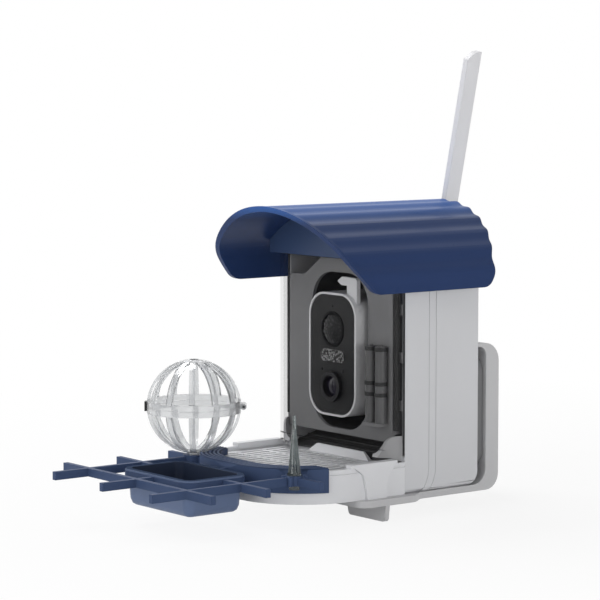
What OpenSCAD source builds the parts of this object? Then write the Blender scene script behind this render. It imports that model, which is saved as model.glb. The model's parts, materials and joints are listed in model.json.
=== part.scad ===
// Smart bird feeder: a seed hopper with a camera behind a smoked window, under a
// corrugated vault roof, with a clip-on perch frame for water, fruit and a feed ball.
// Sizes are worked out with Y = 0 at the front edge of the side panels, Z = 0 at the
// underside of the housing and X = 0 on the symmetry plane. from_wall() then moves
// everything to the finished origin, the middle of the wall plate's back face.

/* [Housing] */
// Width of the housing
body_w = 140; // [134:1:150]
// Depth of the side panels
body_d = 71.5; // [68:0.5:80]
// Height of the housing's rim
body_h = 171.2; // [168:0.2:180]
// Thickness of the housing walls
wall = 3; // [2.4:0.1:3.4]
// Radius along the lower side edges
edge_r = 4; // [3.6:0.1:5]
// Radius of the lower rear corner
heel_r = 11; // [8:0.5:12]
// Front seam, from the front edge
seam_front = 23.1; // [20:0.1:25]
// Width of the strip between the two seams
seam_band_w = 7; // [5:0.1:9]
// Radius with which the seams run forward at the bottom
seam_bend_r = 26; // [24:0.5:34]
// Visible width of each seam
seam_gap = 0.35; // [0.2:0.05:0.6]

/* [Window and partition] */
// How far the window stands in front of the side panels
window_out = 18; // [17:0.5:22]
// Outer corner radius of the window
window_r = 20; // [16:0.5:24]
// Thickness of the window
window_t = 2.5; // [2:0.1:2.8]
// Lower edge of the window, above the seed mouth
mouth_top = 33; // [32:0.5:36]
// Top of the gray cheeks behind the window's lower corners
cheek_top = 43; // [40:0.5:46]
// Front of the cheeks at their foot, in front of the side panels
cheek_out = 14.6; // [13:0.1:15]
// Front face of the partition, behind the side panels' front edge
partition_y = -5; // [-5.4:0.1:-4.6]
// Thickness of the partition
partition_t = 3; // [2.4:0.1:3.4]
// Lower edge of the partition
partition_low = 37.5; // [36:0.5:38.5]
// Width of the oval opening
oval_w = 67; // [63:0.5:68]
// Corner radius of the oval opening
oval_r = 24; // [22:0.5:30]
// Lowest point of the oval
oval_low = 41.5; // [40:0.5:44]
// Depth of the oval's top below the housing's rim
oval_drop = 11.7; // [10:0.1:14]
// Depth of the partition's shoulders below the housing's rim
shoulder_drop = 15.7; // [12:0.1:20]
// Space between the partition's sides and the side panels
partition_gap = 5.4; // [4:0.1:7]

/* [Camera] */
// Width of the camera
camera_w = 56; // [54:0.5:58]
// Space above and below the camera in the oval
camera_gap = 12.5; // [11:0.1:14]
// How far the camera sits below the oval's middle
camera_drop = 2.4; // [0:0.1:4]
// Corner radius of the camera
camera_r = 18; // [15:0.5:24]
// Front of the camera's rim, in front of the side panels
camera_front = 12.5; // [12:0.1:13]
// Depth of the camera
camera_d = 54.5; // [48:0.5:60]
// Wall of the camera shell
camera_wall = 1.6; // [1.2:0.1:3]
// Diameter of the motion sensor's lens
pir_d = 22.5; // [20:0.5:24]
// Outer diameter of the lens ring
lens_d = 23; // [21:0.5:25]
// Width of the light window
light_w = 28; // [24:0.5:32]
// Height of the light window
light_h = 9.5; // [8:0.5:11]
// Diameter of a battery cell
cell_d = 9; // [8:0.1:9.2]
// Length of a battery cell
cell_h = 58; // [50:1:64]

/* [Tray] */
// Height of the tray's rim
tray_h = 24; // [23.6:0.1:24.6]
// How far the tray reaches in front of the panels
tray_reach = 108.5; // [107:0.5:109]
// Radius of the tray's front corners
tray_r = 56; // [54:0.5:58]
// Thickness of the tray's wall
tray_t = 3; // [2.5:0.1:3.2]
// Level on which the slotted floor rests
grid_z = 19; // [16:0.5:19.4]
// Thickness of the slotted floor
grid_t = 2; // [1.6:0.1:2.2]
// Spacing of the slots
slot_pitch = 8; // [7:0.5:10]
// Width of a slot
slot_w = 3.6; // [3:0.1:4.5]

/* [Perch frame] */
// Width of a beam
beam_w = 4; // [3:0.1:5]
// Height of a beam
beam_h = 6; // [5:0.1:7]
// Level of the beams' upper side
frame_z = 21.9; // [21:0.1:22.4]
// Distance of the outer lengthways beams from the middle
beam_x = 61.5; // [59:0.5:62]
// Front ends of the lengthways beams
frame_front = -220; // [-230:1:-210]
// Half length of the crosswise beams
frame_half = 93; // [85:1:100]
// Place of the first crosswise beam, at the tray
cross_rear = -96; // [-98:0.5:-95]
// Spacing of the crosswise beams
cross_pitch = 47; // [46:0.5:50]
// Rear ends of the rim channel
channel_rear = -71; // [-74:0.5:-68]
// Length of the water basin
basin_w = 79; // [70:1:84]
// Width of the water basin
basin_d = 50; // [44:1:54]
// Depth of the water basin
basin_h = 25.3; // [16:0.1:28]
// Height of the fruit spike above the beams
spike_h = 44; // [24:1:50]

/* [Feed ball] */
// Radius of the ball
cage_r = 35.4; // [33:0.2:36]
// Wall of the ball
cage_t = 2; // [1.6:0.1:2.6]
// Width of a rib
rib_w = 4.6; // [3.5:0.1:5.5]
// Half height of the band at the middle
band_h = 4.5; // [3.5:0.1:5.5]
// Direction in which the ball's hinge points
cage_turn = 52; // [40:1:60]

/* [Roof] */
// Width across the roof's skirts
roof_w = 174; // [170:1:180]
// Rise of the vault above the skirts' lower edge
roof_rise = 61; // [59:0.5:64]
// How far the skirts reach below the housing's rim
skirt_drop = 20.7; // [19:0.1:22]
// Radius of the vault's sides
roof_side_r = 47; // [44:0.5:50]
// Thickness of the roof between the flutes
roof_t = 3; // [2.4:0.1:3.4]
// Height of the flutes
flute_h = 1.3; // [1:0.1:2.6]
// Spacing of the flutes along the vault
flute_pitch = 17.2; // [15:0.1:20]

/* [Antenna] */
// Height of the blade above its pivot
blade_h = 169; // [120:1:180]
// Width of the blade
blade_w = 13; // [11:0.5:16]
// Thickness of the blade
blade_t = 5; // [4:0.1:6]
// Lean of the blade at rest
lean = 13; // [0:0.1:30]
// Place of the connector to the side of the middle
antenna_x = -21; // [-24:0.5:-15]
// Depth of the connector below the housing's rim
antenna_drop = 10.7; // [9:0.1:20]

/* [Bracket] */
// Thickness of the bracket's base
base_t = 5; // [4:0.1:7]
// Thickness of the upright
upright_t = 12.7; // [10:0.1:14]
// Height of the upright
upright_h = 106.5; // [105:0.5:112]
// Depth of the panel between housing and upright
cover_d = 8.5; // [8:0.1:9.5]
// Front end of the base
base_front = -46; // [-50:0.5:-42]
// Half width of the base's wide front
base_half = 77.6; // [75:0.2:80]
// Depth of the feet below the base
foot_h = 12; // [8:0.1:14]
// Distance from the upright to the wall
standoff = 37; // [33:0.5:45]
// Width of the wall plate
plate_w = 42; // [38:0.5:44]
// Height of the wall plate
plate_h = 88; // [84:1:94]
// Height of the wall plate's middle
mount_z = 52.5; // [50:0.5:56]
// Sideways spacing of the wall screws
screw_dx = 28; // [26:0.5:30]
// Upright spacing of the wall screws
screw_dz = 72; // [70:1:76]
// Diameter of the wall screw holes
screw_d = 5; // [4:0.1:5.6]

/* [Hidden] */
$fn = 64;

// Clearances
fit = 0.05;     // running fit of a shaft in its hole
seat = 0.3;     // between a curved piece and its seat
side_gap = 0.1; // between a plate and the walls beside it
cut = 1;        // how far a cut runs past a face

// Colours
gray = [0.76, 0.77, 0.79];
pale = [0.86, 0.86, 0.87];
dim = [0.5, 0.5, 0.51];
black = [0.07, 0.07, 0.08];
blue = [0.22, 0.29, 0.48];
smoke = [0.35, 0.35, 0.37, 0.5];
clear = [0.9, 0.92, 0.92, 0.35];
metal = [0.7, 0.7, 0.72];

half_w = body_w / 2;
inner_half = half_w - wall;
seam_rear = seam_front + seam_band_w;
seam_bend_z = 18;
upright_y = body_d + cover_d + seat;
back_y = upright_y + upright_t;
wall_y = back_y + standoff;
oval_h = body_h - oval_drop - oval_low;
oval_z = oval_low + oval_h / 2;
shoulder_z = body_h - shoulder_drop;
camera_h = oval_h - 2 * camera_gap;
camera_z = oval_z - camera_drop;
roof_low = body_h - skirt_drop;
antenna_z = body_h - antenna_drop;

module from_wall() {
  translate([0, -wall_y, -mount_z]) children();
}

// A side view, drawn as Y and Z, carried across the middle over the given width
module across(width) {
  rotate([90, 0, 90]) translate([0, 0, -width / 2]) linear_extrude(width) children();
}

// A front view, drawn as X and Z, carried from y0 back to y1
module along(y0, y1) {
  translate([0, y1, 0]) rotate([90, 0, 0]) linear_extrude(y1 - y0) children();
}

// A plan, drawn as X and Y, carried from z0 up to z1
module plan(z0, z1) {
  translate([0, 0, z0]) linear_extrude(z1 - z0) children();
}

// A round bar from front to back
module bar_y(r, y0, y1) {
  translate([0, y1, 0]) rotate([90, 0, 0]) cylinder(r = r, h = y1 - y0);
}

// A round bar from left to right
module bar_x(r, x0, x1) {
  translate([x0, 0, 0]) rotate([0, 90, 0]) cylinder(r = r, h = x1 - x0);
}

module round_rect(w, h, r) {
  square([w - 2 * r, h], center = true);
  square([w, h - 2 * r], center = true);
  for (x = [-1, 1], y = [-1, 1])
    translate([x * (w / 2 - r), y * (h / 2 - r)]) circle(r);
}

module both_sides() {
  children();
  mirror([1, 0, 0]) children();
}

// An outline of [x, y, r] corners, each rounded with its own radius
function unit(v) = v / norm(v);
function corner_arc(p, q, n, r, steps) =
  let (a = unit(p - q), b = unit(n - q), turn = acos(a * b),
       mid = q + unit(a + b) * (r / sin(turn / 2)),
       from = q + a * (r / tan(turn / 2)) - mid, to = q + b * (r / tan(turn / 2)) - mid,
       sweep = 180 - turn)
  [for (i = [0:steps])
    mid + (from * sin(sweep * (1 - i / steps)) + to * sin(sweep * i / steps)) / sin(sweep)];
function flat(p) = [p[0], p[1]];
function rounded(corners, steps = 8) =
  let (n = len(corners))
  [for (i = [0:n - 1])
    let (q = corners[i], r = q[2])
    each r == 0 ? [flat(q)]
      : corner_arc(flat(corners[(i + n - 1) % n]), flat(q), flat(corners[(i + 1) % n]), r, steps)];

// Housing

// Front view of the housing, drawn in by an inset, open upwards
module tub(inset, r, top) {
  w = body_w - 2 * inset;
  translate([-w / 2, inset + r]) square([w, top - inset - r]);
  translate([-w / 2 + r, inset]) square([w - 2 * r, r]);
  for (x = [-1, 1]) translate([x * (w / 2 - r), inset + r]) circle(r);
}

module tub_ring(outer_inset) {
  difference() {
    tub(outer_inset, edge_r - outer_inset, body_h);
    tub(wall, edge_r - wall, body_h + cut);
  }
}

// Side view of all that lies in front of a seam, which bends forward near the bottom
module ahead_of_seam(y) {
  reach = body_d + seam_bend_r;
  low = -cut;
  translate([y - reach, seam_bend_z]) square([reach, body_h]);
  translate([y - reach, low]) square([reach - seam_bend_r, seam_bend_z - low]);
  intersection() {
    translate([y - seam_bend_r, seam_bend_z]) circle(seam_bend_r);
    translate([y - seam_bend_r, low]) square([seam_bend_r, seam_bend_z - low]);
  }
}

// Side view of the housing's rear with its round heel
module heel(inset) {
  r = heel_r - inset;
  y = body_d - inset;
  translate([-cut, inset + r]) square([y + cut, body_h]);
  translate([-cut, inset]) square([y + cut - r, r]);
  translate([y - r, inset + r]) circle(r);
}

sill_h = grid_z + 1; // front wall below the seed mouth

clip_rim_h = 2.6; // rim of the tray's clips
clip_rim_y0 = -52;
clip_rim_y1 = -9;
cheek_t = 1.6;
cheek_lean = 5.2;
cheek_z = tray_h + clip_rim_h + seat;

// Side view of the window's lower corner, which steps down behind the tray's clip
module cheek_side(rear) {
  polygon(rounded([
    [-cheek_out, cheek_z, 0], [cheek_lean - cheek_out, cheek_top, 7], [rear, cheek_top, 0],
    [rear, tray_h + seat, 4], [clip_rim_y1 + seat, tray_h + seat, 0],
    [clip_rim_y1 + seat, cheek_z, 0]]));
}

// Both front corners of the housing, where the window bends
module corners() {
  both_sides() translate([half_w - window_r, -window_out - cut, 0])
    cube([window_r + cut, 2 * window_r, body_h]);
}

module front_shell() {
  color(gray) from_wall() {
    intersection() {
      plan(0, cheek_top) wrap(window_t + side_gap, cheek_t, wall);
      across(body_w + 2) cheek_side(wall);
      corners();
    }
    intersection() {
      along(0, seam_front) tub_ring(0);
      across(body_w + 2) ahead_of_seam(seam_front);
    }
    along(0, wall) translate([-inner_half - cut, wall - cut])
      square([2 * (inner_half + cut), sill_h - wall + cut]);
  }
}

module between_seams(gap) {
  difference() {
    ahead_of_seam(seam_rear - gap);
    ahead_of_seam(seam_front + gap);
  }
}

seam_depth = 0.9;

module seam_band() {
  color(gray) from_wall() {
    intersection() {
      along(0, seam_rear) tub_ring(seam_depth);
      across(body_w + 2) between_seams(0);
    }
    intersection() {
      along(0, seam_rear) tub_ring(0);
      across(body_w + 2) between_seams(seam_gap);
    }
  }
}

socket_thread_r = 3.2;
inner_r = 12;
lip_t = 2.5;
lip_r = 7;
cover_low = inner_r + 0.5;
cover_high = upright_h - lip_t - lip_r - seat;
cover_screw_x = 52;
cover_screw_dz = cover_high - cover_low - 20;
cover_z = (cover_low + cover_high) / 2;
cover_screw_r = 1.5;

module at_cover_screws() {
  for (x = [-1, 1], z = [-1, 1])
    translate([x * cover_screw_x, 0, cover_z + z * cover_screw_dz / 2]) children();
}

module rear_shell() {
  color(gray) from_wall() difference() {
    intersection() {
      along(0, body_d) tub(0, edge_r, body_h);
      across(body_w + 2) difference() {
        heel(0);
        ahead_of_seam(seam_rear);
      }
    }
    intersection() {
      along(-cut, body_d) tub(wall, edge_r - wall, body_h + cut);
      across(body_w + 2) heel(wall);
    }
    translate([antenna_x, 0, antenna_z])
      bar_y(socket_thread_r + fit, body_d - wall - cut, body_d + cut);
    at_cover_screws() bar_y(cover_screw_r + fit, body_d - wall - cut, body_d + cut);
  }
}

cover_w = 132;
cover_t = 2.5;
cover_r = 12;
cover_head_r = 3;
cover_head_h = 1.5;
cover_boss_r = 4.5;
cover_back = body_d + cover_d;

module rear_cover() {
  color(dim) from_wall() difference() {
    union() {
      difference() {
        along(body_d, cover_back) translate([0, cover_z])
          round_rect(cover_w, cover_high - cover_low, cover_r);
        along(body_d - cut, cover_back - cover_t) translate([0, cover_z])
          round_rect(cover_w - 2 * cover_t, cover_high - cover_low - 2 * cover_t,
            cover_r - cover_t);
      }
      at_cover_screws() bar_y(cover_boss_r, body_d, cover_back);
    }
    at_cover_screws() {
      bar_y(cover_screw_r + fit, body_d - cut, cover_back + cut);
      bar_y(cover_head_r + fit, cover_back - cover_head_h - seat, cover_back + cut);
    }
  }
}

module cover_screws() {
  color(metal) from_wall() at_cover_screws() {
    bar_y(cover_screw_r, body_d - wall, cover_back - cover_head_h - seat + fit);
    bar_y(cover_head_r, cover_back - cover_head_h - seat + fit, cover_back - seat);
  }
}

clip_low = 60;
clip_h = 22;
clip_x = cover_w / 2 + 0.2;

module side_clips() {
  color(black) from_wall() both_sides()
    translate([clip_x, body_d, clip_low]) cube([1.8, 2, clip_h]);
}

floor_t = 2.5;
floor_rise = 20;
floor_ribs = 8;
floor_rib_r = 0.9;

module hopper_floor() {
  y0 = 0.5;
  y1 = body_d - wall - side_gap;
  color(dim) from_wall() across(2 * (inner_half - side_gap)) {
    polygon([[y0, sill_h], [y1, sill_h + floor_rise], [y1, sill_h + floor_rise + floor_t],
      [y0, sill_h + floor_t]]);
    for (i = [1:floor_ribs - 1])
      translate([y0 + (y1 - y0) * i / floor_ribs, sill_h + floor_t + floor_rise * i / floor_ribs])
        circle(floor_rib_r, $fn = 24);
  }
}

// Window, partition and what hangs on it

module window_plan(inset) {
  r = window_r - inset;
  w = half_w - inset;
  y = -window_out + inset;
  translate([-w, y + r]) square([2 * w, window_r]);
  translate([-w + r, y]) square([2 * (w - r), r]);
  for (x = [-1, 1]) translate([x * (w - r), y + r]) circle(r);
}

// Plan of a bent sheet round both front corners, drawn in by an inset, its ends at a depth
module wrap(inset, thickness, end_y) {
  difference() {
    window_plan(inset);
    window_plan(inset + thickness);
    translate([-half_w - cut, end_y]) square([body_w + 2 * cut, 2 * window_r]);
  }
}

module smoked_window() {
  color(smoke) from_wall() {
    plan(mouth_top, body_h) wrap(0, window_t, 0);
    intersection() {
      plan(0, mouth_top + cut / 2) wrap(0, window_t, 0);
      across(body_w + 2) cheek_side(0);
      corners();
    }
  }
}

partition_half = inner_half - partition_gap;
partition_back = partition_y + partition_t;
crown_half = 22;
shoulder_half = 43;
shoulder_r = 12;
cell_x = [partition_half - 7.6 - 11.2, partition_half - 7.6];
cell_y = partition_y - cell_d / 2;
cell_lift = 14.2;
cell_z = partition_low + cell_lift;
shelf_t = 2.5;

module oval(grow) {
  translate([0, oval_z])
    round_rect(oval_w + 2 * grow, oval_h + 2 * grow, oval_r + grow);
}

module partition() {
  flange_y = 10;
  tab_h = 8;
  color(gray) from_wall() {
    along(partition_y, partition_back) difference() {
      polygon(rounded([
        [-partition_half, partition_low, 0], [partition_half, partition_low, 0],
        [partition_half, shoulder_z, 3], [shoulder_half, shoulder_z, shoulder_r],
        [crown_half, body_h - 1, 4], [-crown_half, body_h - 1, 4],
        [-shoulder_half, shoulder_z, shoulder_r], [-partition_half, shoulder_z, 3]]));
      oval(0);
    }
    both_sides() translate([partition_half - partition_t, partition_back, partition_low + 6])
      cube([partition_t, flange_y, shoulder_z - partition_low - 12]);
    both_sides() for (z = [0.2, 0.5, 0.8])
      translate([partition_half - partition_t, partition_back + 2,
          partition_low + z * (shoulder_z - partition_low)])
        cube([partition_t + partition_gap - side_gap, flange_y - 4, tab_h]);
    translate([cell_x[0] - cell_d / 2 - 1, cell_y - cell_d / 2, cell_z - shelf_t])
      cube([cell_x[1] - cell_x[0] + cell_d - 1, cell_d, shelf_t]);
  }
}

shroud_t = 2;
camera_back = camera_d - camera_front;

module camera_shroud() {
  color(black) from_wall() {
    along(partition_back, camera_back + shroud_t) difference() {
      oval(shroud_t);
      oval(0.2);
    }
    along(camera_back, camera_back + shroud_t) oval(0.2 + cut / 10);
  }
}

module camera_outline(inset) {
  translate([0, camera_z])
    round_rect(camera_w - 2 * inset, camera_h - 2 * inset, camera_r - inset);
}

face_t = 3;
face_y = -camera_front + 0.5;

module camera_shell() {
  color(pale) from_wall() difference() {
    along(-camera_front, camera_back) camera_outline(0);
    along(-camera_front - cut, camera_back - camera_wall) camera_outline(camera_wall);
  }
}

pir_z = camera_z + 19;
light_z = camera_z - 1;
lens_z = camera_z - 24;
mic_z = camera_z + 36.5;
dot_x = 12.5;
dot_z = camera_z - 12;

module camera_face() {
  color(black) from_wall() difference() {
    along(face_y, face_y + face_t) camera_outline(camera_wall + 0.2);
    translate([0, 0, pir_z]) bar_y(pir_d / 2 + fit, face_y - cut, face_y + face_t + cut);
    translate([0, 0, lens_z]) bar_y(lens_d / 2 + fit, face_y - cut, face_y + face_t + cut);
    along(face_y - cut, face_y + face_t + cut) translate([0, light_z])
      round_rect(light_w + 2 * fit, light_h + 2 * fit, light_h / 2 - 0.5);
    translate([0, 0, mic_z]) bar_y(0.8, face_y - cut, face_y + 1.5);
    for (x = [-1, 1]) translate([x * dot_x, 0, dot_z]) bar_y(0.9, face_y - cut, face_y + 1.5);
  }
}

// A round glass, flat behind, whose front bulges by the given rise
module bulged_glass(r, y_front, y_back, rise) {
  ball = (r * r + rise * rise) / (2 * rise);
  intersection() {
    translate([0, y_front - rise + ball, 0]) sphere(ball, $fn = 96);
    bar_y(r, y_front - rise - cut, y_back);
  }
}

module pir_lens() {
  color(dim) from_wall() translate([0, 0, pir_z])
    bulged_glass(pir_d / 2, face_y, face_y + face_t, 2.6);
}

module spotlight_window() {
  color(pale) from_wall() along(face_y - 0.4, face_y + face_t) translate([0, light_z])
    round_rect(light_w, light_h, light_h / 2 - 0.5);
}

glass_r = 8;
lens_rise = 2.8;

module lens_ring() {
  color(black) from_wall() translate([0, 0, lens_z]) difference() {
    bar_y(lens_d / 2, face_y - lens_rise, face_y + face_t);
    bar_y(glass_r + fit, face_y - lens_rise - cut, face_y + face_t + cut);
  }
}

module lens_glass() {
  color(black) from_wall() translate([0, 0, lens_z])
    bulged_glass(glass_r, face_y + 0.6, face_y + face_t, 1.8);
}

module circuit_board() {
  color([0.1, 0.3, 0.18]) from_wall()
    along(face_y + face_t, face_y + face_t + 1.6) camera_outline(camera_wall + 2);
}

latch_t = 3.6;

module camera_latch() {
  latch_y = partition_y - 0.2;
  top = camera_z + camera_h / 2;
  color(pale) from_wall() along(latch_y - latch_t, latch_y) difference() {
    polygon(rounded([
      [13, top - 14.6, 0], [24.5, top - 14.6, 0], [24.5, top + 11.8, 2], [7, top + 12.4, 2],
      [1.6, top + 8.8, 0.6], [6.5, top + 5.9, 1.5], [13, top + 5.9, 0]], 5));
    camera_outline(-0.1);
  }
}

module battery_cells() {
  color(dim) from_wall() for (x = cell_x)
    translate([x, cell_y - seat, cell_z]) {
      cylinder(d = cell_d - 0.6, h = cell_h - 1.2);
      translate([0, 0, cell_h - 1.2]) cylinder(d = cell_d / 3, h = 1.2);
    }
}

module battery_clip() {
  band = cell_h / 20;
  r = cell_d / 2 - 0.3;
  color(black) from_wall() for (share = [0.34, 0.48, 0.92])
    translate([0, cell_y - seat, cell_z + share * cell_h]) difference() {
      union() {
        for (x = cell_x) translate([x, 0, 0]) cylinder(r = r + 0.5, h = band);
        translate([cell_x[0], 0, 0]) cube([cell_x[1] - cell_x[0], r + seat, band]);
      }
      for (x = cell_x) translate([x, 0, -cut]) cylinder(r = r + fit, h = band + 2 * cut);
    }
}

// Tray

// Plan of the tray, drawn in by an inset, with wide round corners at the front
module tray_plan(inset, back_inset) {
  r = tray_r - inset;
  w = half_w - inset;
  front = inset - tray_reach;
  difference() {
    union() {
      translate([-w, front + r]) square([2 * w, -front - r]);
      translate([r - w, front]) square([2 * (w - r), r]);
      for (x = [-1, 1]) translate([x * (w - r), front + r]) circle(r, $fn = 120);
    }
    translate([-body_w, -back_inset]) square([2 * body_w, body_w]);
  }
}

// A strip along the tray's wall between two insets
module tray_strip(z0, z1, outer, inner) {
  plan(z0, z1) difference() {
    tray_plan(outer, 0);
    tray_plan(inner, -cut);
  }
}

ledge = 2;
groove_z = 3.8;
groove_h = 0.6;
groove_t = 0.5;

module seed_tray() {
  floor_z = 3;
  color(gray) from_wall() difference() {
    plan(0, tray_h) tray_plan(0, 0);
    plan(floor_z, grid_z + cut / 2) tray_plan(tray_t + ledge, tray_t + ledge);
    plan(grid_z, tray_h + cut) tray_plan(tray_t, tray_t);
    plan(grid_z + grid_t, tray_h + cut) translate([-inner_half + 4, -tray_t - cut])
      square([2 * (inner_half - 4), tray_t + 2 * cut]);
    tray_strip(tray_h - groove_z, tray_h - groove_z + groove_h, -cut, groove_t);
  }
}

module tray_grid() {
  row_d = 24;
  bar_d = 3;
  rows = 4;
  columns = floor(half_w / slot_pitch);
  color(gray) from_wall() plan(grid_z, grid_z + grid_t) difference() {
    tray_plan(tray_t + seat, tray_t + seat);
    intersection() {
      tray_plan(tray_t + ledge + 2, tray_t + ledge + 2);
      union() for (i = [-columns:columns], j = [0:rows - 1])
        translate([i * slot_pitch - slot_w / 2, -8 - (j + 1) * row_d])
          square([slot_w, row_d - bar_d]);
    }
  }
}

deflector_h = 6;
deflector_low = 36;
deflector_high = 28;
deflector_front = -6.8;
deflector_rear = -3.2;
deflector_edge = 1.4;

module seed_deflector() {
  foot = grid_z + grid_t;
  top = foot + deflector_h;
  color(gray) from_wall() intersection() {
    along(deflector_front, deflector_rear) polygon(rounded([
      [-deflector_low, foot, 0], [deflector_low, foot, 0],
      [deflector_high, top, 3], [-deflector_high, top, 3]], 5));
    across(body_w) polygon([[deflector_front, foot], [deflector_rear, foot],
      [deflector_rear, top], [deflector_rear - deflector_edge, top]]);
  }
}

clip_t = 2.2;
clip_lip = 1.6;

module tray_clip() {
  lip_in = tray_t + clip_lip + side_gap;
  intersection() {
    union() {
      tray_strip(tray_h, tray_h + clip_rim_h, -clip_t - side_gap, lip_in);
      tray_strip(tray_h - clip_lip, tray_h + cut / 2, tray_t + side_gap, lip_in);
    }
    translate([0, clip_rim_y0, 0]) cube([base_half, clip_rim_y1 - clip_rim_y0, body_h]);
  }
  intersection() {
    tray_strip(0, tray_h + cut / 2, -clip_t - side_gap, -side_gap);
    translate([body_w / 2, 0, 0]) across(body_w) polygon(rounded([
      [-37, 0, 0], [-19, 0, 0], [-19, 8, 6], [-15, tray_h - 5, 6],
      [clip_rim_y1, tray_h + cut, 0], [clip_rim_y0 + 2, tray_h + cut, 0],
      [-41, tray_h - 5, 6], [-38, 8, 6]], 5));
  }
}

module tray_clip_right() {
  color(gray) from_wall() tray_clip();
}

module tray_clip_left() {
  color(gray) from_wall() mirror([1, 0, 0]) tray_clip();
}

// Perch frame and what it carries

channel_low = 8.5;
channel_t = 2.6;
channel_top = tray_h + seat;
channel_web = 1.7;
channel_lip = 3.4;
channel_w = 16;
channel_edge = 1.6;
ridge_count = 5;
ridge_pitch = 3;
ridge_w = 1.3;
ridge_h = 0.6;
basin_y = cross_rear - cross_pitch - 5.5;
collar_t = 2.6;
collar_r = 8;
boss_z = frame_z + 1;
boss_r = 8.5;
stem_r = 4;
cage_z = boss_z + cage_r + 1.2;

module at_spike() {
  translate([beam_x, cross_rear, 0]) children();
}

module at_cage() {
  translate([-beam_x, cross_rear, 0]) children();
}

// The channel that hooks over the tray's rim, with a wide ridged top
module rim_channel() {
  outer = -seat - channel_t;
  inner = outer + channel_w;
  lip = tray_t + seat;
  lip_z = grid_z + grid_t + seat;
  top = channel_top + channel_web;
  difference() {
    intersection() {
      union() {
        tray_strip(channel_low, top, outer, -seat);
        tray_strip(channel_top, top, outer, inner);
        tray_strip(lip_z, top, lip, lip + channel_lip);
        tray_strip(lip_z, top, inner - channel_edge, inner);
        for (i = [0:ridge_count - 1])
          tray_strip(channel_top, top + ridge_h, outer + 1 + ridge_pitch * i,
            outer + 1 + ridge_w + ridge_pitch * i);
      }
      plan(0, body_h) translate([-body_w, channel_rear - body_w]) square([2 * body_w, body_w]);
    }
    at_cage() translate([0, 0, cage_z]) sphere(cage_r + seat, $fn = 96);
  }
}

module beam_y(x, y0, y1) {
  translate([x - beam_w / 2, y0, frame_z - beam_h]) cube([beam_w, y1 - y0, beam_h]);
}

module beam_x_at(y) {
  translate([-frame_half, y - beam_w / 2, frame_z - beam_h])
    cube([2 * frame_half, beam_w, beam_h]);
}

module perch_frame() {
  low = frame_z - beam_h;
  corner_x = half_w - tray_r;
  wall_r = tray_r + seat + channel_t / 2;
  rear_end = tray_r - tray_reach - sqrt(pow(wall_r, 2) - pow(beam_x - corner_x, 2));
  color(blue) from_wall() {
    rim_channel();
    difference() {
      union() {
        for (x = [-1, 1]) beam_y(x * beam_x, frame_front, rear_end);
        beam_y(0, frame_front, -tray_reach - seat - channel_t / 2);
        for (i = [0:2]) beam_x_at(cross_rear - i * cross_pitch);
        translate([0, basin_y, 0]) plan(low, frame_z)
          round_rect(basin_w + 2 * collar_t + 2 * seat, basin_d + 2 * collar_t + 2 * seat,
            collar_r + collar_t);
        at_cage() plan(low, boss_z) circle(boss_r);
        at_spike() plan(low, boss_z) {
          circle(boss_r - 1.5);
          for (a = [0:60:300]) rotate(a) translate([boss_r - 1.5, 0]) circle(2.2, $fn = 24);
        }
      }
      plan(low - cut, boss_z + cut) tray_plan(-seat, 0);
      translate([0, basin_y, 0]) plan(low - cut, frame_z + cut)
        round_rect(basin_w + 2 * seat, basin_d + 2 * seat, collar_r);
      at_spike() plan(low - cut, boss_z + cut) circle(stem_r + fit);
    }
  }
}

basin_t = 2;
basin_rim = 1.5;
basin_draft = 5;
basin_edge = 5;

// A rounded slab that a tapering wall is drawn between
module basin_slab(z, grow) {
  translate([0, 0, z]) linear_extrude(0.1)
    round_rect(basin_w + 2 * grow, basin_d + 2 * grow, collar_r + grow, $fn = 32);
}

module basin_form(inset) {
  low = frame_z - basin_h + inset;
  hull() {
    basin_slab(frame_z - beam_h - cut, -inset);
    basin_slab(low + basin_edge, -basin_draft * 0.2 - inset);
    basin_slab(low + basin_edge * 0.3, -basin_draft * 0.5 - inset);
    basin_slab(low, -basin_draft - inset);
  }
}

module water_basin() {
  color(blue) from_wall() translate([0, basin_y, 0]) difference() {
    union() {
      basin_form(0);
      plan(frame_z - beam_h - cut, frame_z) round_rect(basin_w, basin_d, collar_r, $fn = 32);
      plan(frame_z, frame_z + basin_rim)
        round_rect(basin_w + 2 * collar_t, basin_d + 2 * collar_t, collar_r + collar_t, $fn = 32);
    }
    basin_form(basin_t);
    plan(frame_z - beam_h - cut, frame_z + basin_rim + cut)
      round_rect(basin_w - 2 * basin_t, basin_d - 2 * basin_t, collar_r - basin_t, $fn = 32);
  }
}

spike_flange = 1.6;
spike_low = 12.5;
spike_half = 4.6;
spike_flange_r = 5.2;
spike_tip_r = 0.9;
fin_t = 1.2;
fin_end = 0.8;
fin_drop = 4;

module fruit_spike() {
  foot = boss_z + spike_flange;
  tip = frame_z + spike_h;
  color(clear) from_wall() at_spike() {
    plan(spike_low, boss_z) circle(stem_r);
    plan(boss_z, foot) circle(spike_flange_r);
    translate([0, 0, foot]) cylinder(r1 = spike_half - 1.2, r2 = spike_tip_r, h = tip - foot);
    for (a = [0, 60, 120]) rotate(a) translate([0, fin_t / 2, 0]) rotate([90, 0, 0])
      linear_extrude(fin_t)
        polygon([[-spike_half, foot], [spike_half, foot], [fin_end, tip - fin_drop],
          [-fin_end, tip - fin_drop]]);
  }
}

// Feed ball

rib_count = 12;
pole_r = 7;
knuckle_r = 2.2;
knuckle_x = cage_r + 2;
knuckle_w = 4;
cage_pin_r = 1;
part_gap = 0.1;

module at_ball() {
  at_cage() translate([0, 0, cage_z]) rotate(cage_turn) children();
}

module ball_wall() {
  difference() {
    sphere(cage_r, $fn = 96);
    sphere(cage_r - cage_t, $fn = 96);
  }
}

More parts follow.
